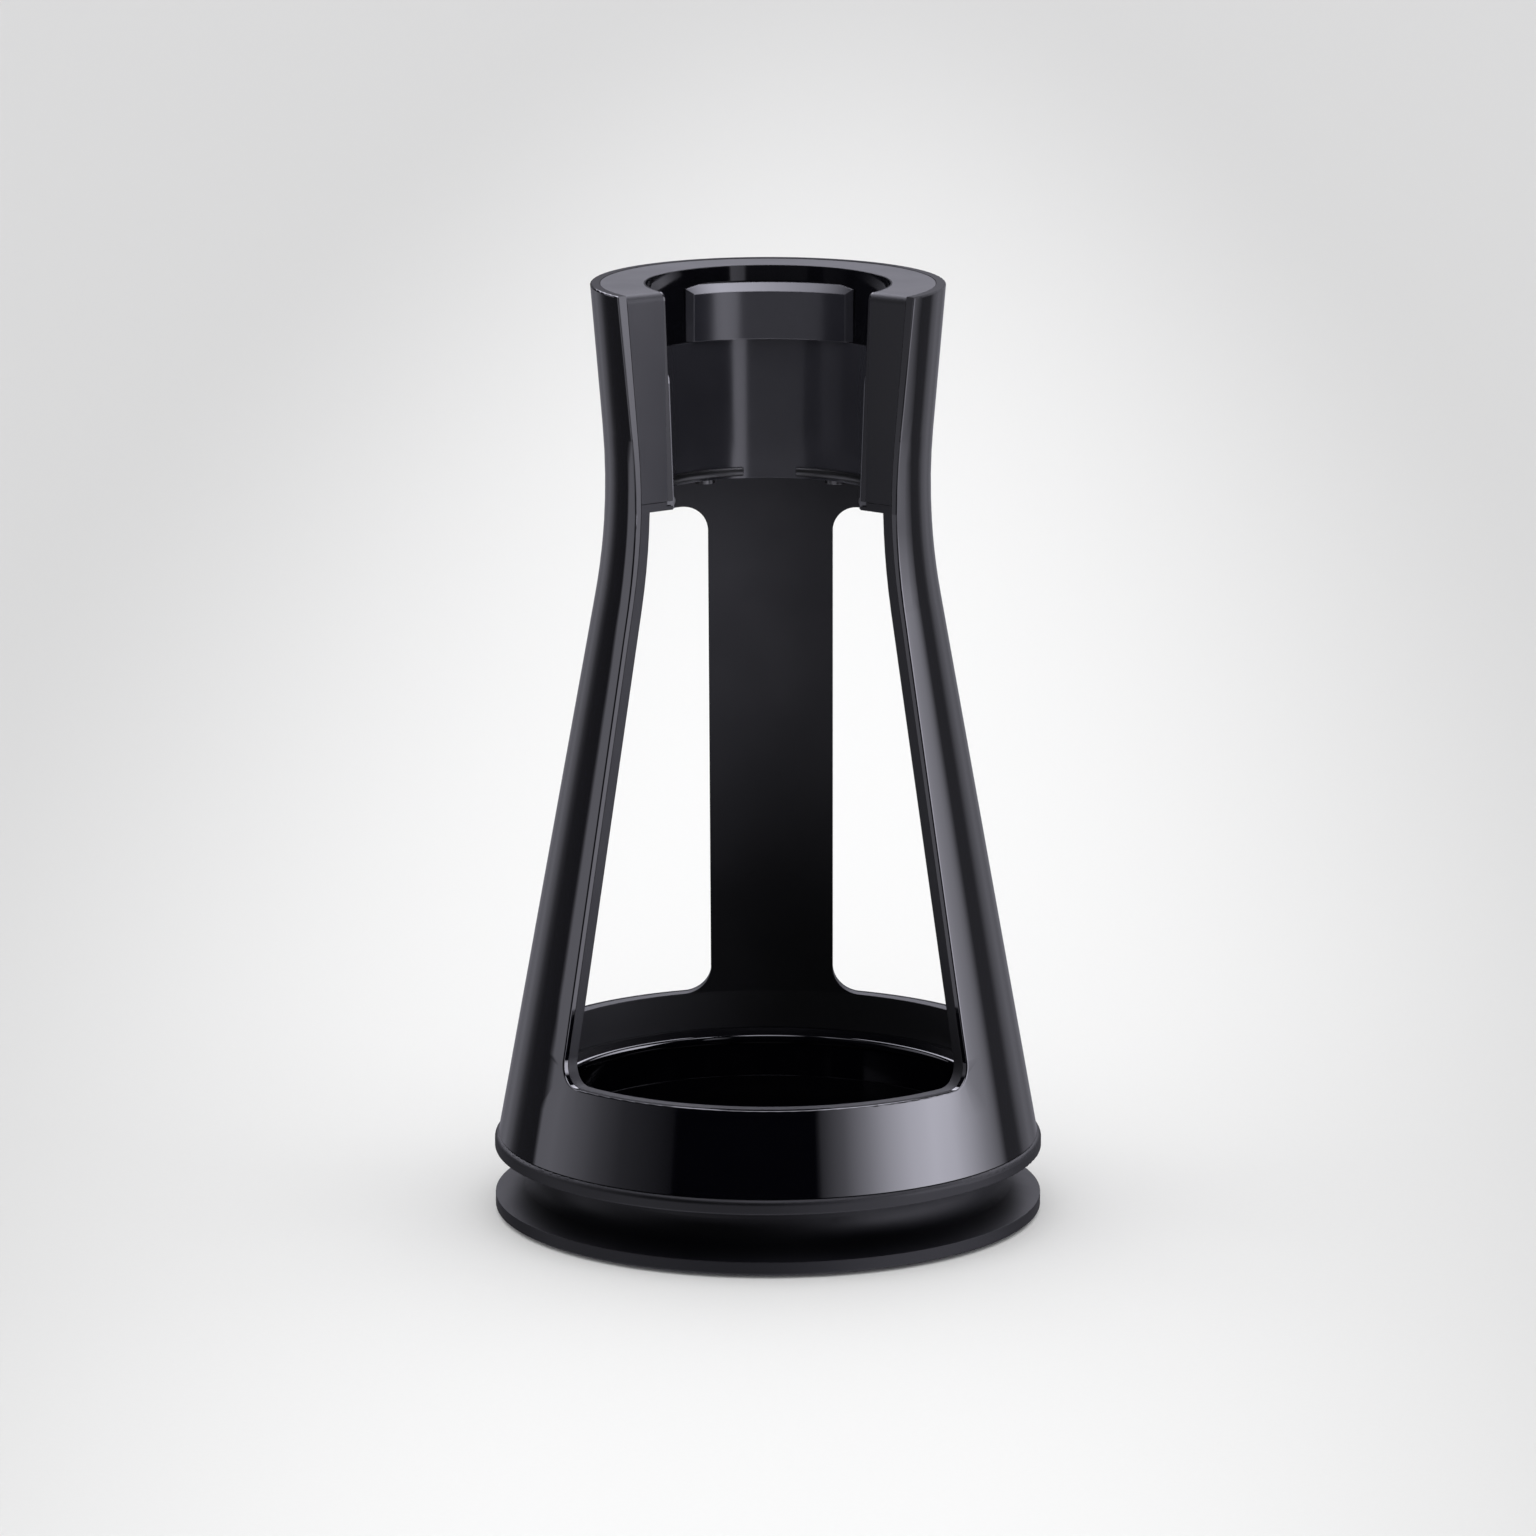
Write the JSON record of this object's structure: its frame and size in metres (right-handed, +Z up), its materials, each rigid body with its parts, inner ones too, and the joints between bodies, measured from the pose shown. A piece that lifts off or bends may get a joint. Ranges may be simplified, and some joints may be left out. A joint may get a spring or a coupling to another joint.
{
  "type": "stand for a hand-held opener",
  "caption": "Waisted counter-top stand with an open front, a C-shaped collar that holds a cordless hand-held opener upright, and a round grooved foot.",
  "frame": {"origin": "centre of the footprint, on the surface that the rubber pads rest on", "axes": "+Z up along the tower's axis; the open front faces -Y; +X is to the right as seen from the front"},
  "size_m": [0.1202, 0.1202, 0.2052],
  "materials": {
    "gloss_abs": "moulded ABS, polished",
    "matt_abs": "moulded ABS, fine spark-eroded texture",
    "foot_abs": "moulded ABS, fine matt texture",
    "soft_elastomer": "moulded thermoplastic elastomer",
    "pad_rubber": "die-cut rubber",
    "steel_plate": "zinc-plated mild steel",
    "screw_steel": "zinc-plated steel"
  },
  "bodies": {
    "root": {"outer_shell": "gloss_abs", "inner_frame": "matt_abs", "collar_insert": "matt_abs", "bore_sleeve": "gloss_abs", "bead_left": "soft_elastomer", "bead_right": "soft_elastomer", "locating_pad": "gloss_abs", "well_ring": "gloss_abs", "base_carrier": "gloss_abs", "trim_ring": "foot_abs", "spool_foot": "foot_abs", "ballast_plate": "steel_plate", "base_cover": "matt_abs", "foot_pad_1": "pad_rubber", "foot_pad_2": "pad_rubber", "foot_pad_3": "pad_rubber", "foot_pad_4": "pad_rubber", "collar_screws": "screw_steel", "carrier_screws": "screw_steel", "cover_screws": "screw_steel", "ballast_screws": "screw_steel"}
  },
  "joints": []
}
